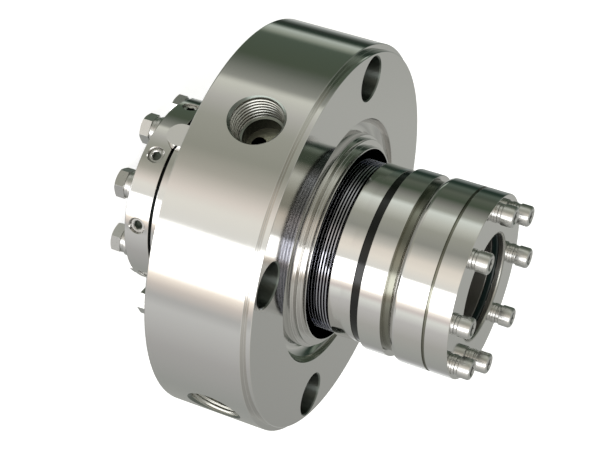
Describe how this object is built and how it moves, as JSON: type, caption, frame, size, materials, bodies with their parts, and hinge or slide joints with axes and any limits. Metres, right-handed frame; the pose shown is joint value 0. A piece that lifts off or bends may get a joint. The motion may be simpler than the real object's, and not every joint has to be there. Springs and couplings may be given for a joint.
{
  "type": "cartridge mechanical seal",
  "caption": "Double cartridge mechanical seal for a 50 mm shaft, with a round drilled gland, an edge-welded bellows face, a screwed drive collar and two flushing ports.",
  "frame": {"origin": "shaft axis at the gland's raised mounting face", "axes": "+Z along the shaft towards the inboard, barrel end"},
  "size_m": [0.19, 0.19, 0.1817],
  "materials": {
    "steel_gland": "turned stainless steel, fine machining lines",
    "steel_polished": "polished stainless steel",
    "steel_sleeve": "turned stainless steel",
    "steel_leaves": "bright thin sheet, edge welded",
    "steel_fastener": "plain stainless fasteners",
    "carbon_face": "lapped dark carbide or carbon, satin",
    "carbide_face": "lapped silicon carbide, satin",
    "spring_steel": "spring steel",
    "rubber_ring": "fluoroelastomer, satin black",
    "packing": "dark shaft packing"
  },
  "bodies": {
    "gland": {"gland": "steel_gland", "rear_plug": "steel_fastener", "inboard_adapter": "steel_sleeve", "adapter_pin": "steel_fastener", "adapter_o_ring": "rubber_ring", "lock_pins": "steel_fastener", "setting_clips": "steel_polished", "clip_screws": "steel_fastener"},
    "rotor": {"shaft_sleeve": "steel_polished", "ring_holder": "steel_polished", "mating_ring": "carbide_face", "mating_o_ring": "rubber_ring", "drive_pins": "steel_fastener", "end_cover": "steel_polished", "shaft_packing": "packing", "cap_washers": "steel_fastener", "cap_lock_washers": "steel_fastener", "cap_screws": "steel_fastener", "drive_collar": "steel_polished", "set_screws": "steel_fastener", "outboard_ring_carrier": "steel_sleeve", "outboard_rotating_ring": "carbide_face", "bolt_washers": "steel_fastener", "bolt_spring_washers": "spring_steel", "hex_bolts": "steel_fastener"},
    "inboard_head": {"bellows": "steel_leaves", "face_holder": "steel_polished", "stationary_face": "carbon_face"},
    "outboard_head": {"outboard_spring": "spring_steel", "outboard_stationary_ring": "carbon_face", "stator_o_ring": "rubber_ring"}
  },
  "joints": [
    {"name": "rotor_spin", "type": "hinge", "parent": "gland", "child": "rotor", "pos_m": [0, 0, 0], "axis": [0, 0, 1], "continuous": true},
    {"name": "inboard_face_float", "type": "slide", "parent": "gland", "child": "inboard_head", "axis": [0, 0, -1], "range_m": [0, 0.002], "stiffness_N_per_m": 20000, "springref_m": -0.002, "deforming": ["bellows"]},
    {"name": "outboard_face_float", "type": "slide", "parent": "gland", "child": "outboard_head", "axis": [0, 0, 1], "range_m": [0, 0.0015], "stiffness_N_per_m": 20000, "springref_m": -0.0015, "deforming": ["outboard_spring"]}
  ]
}
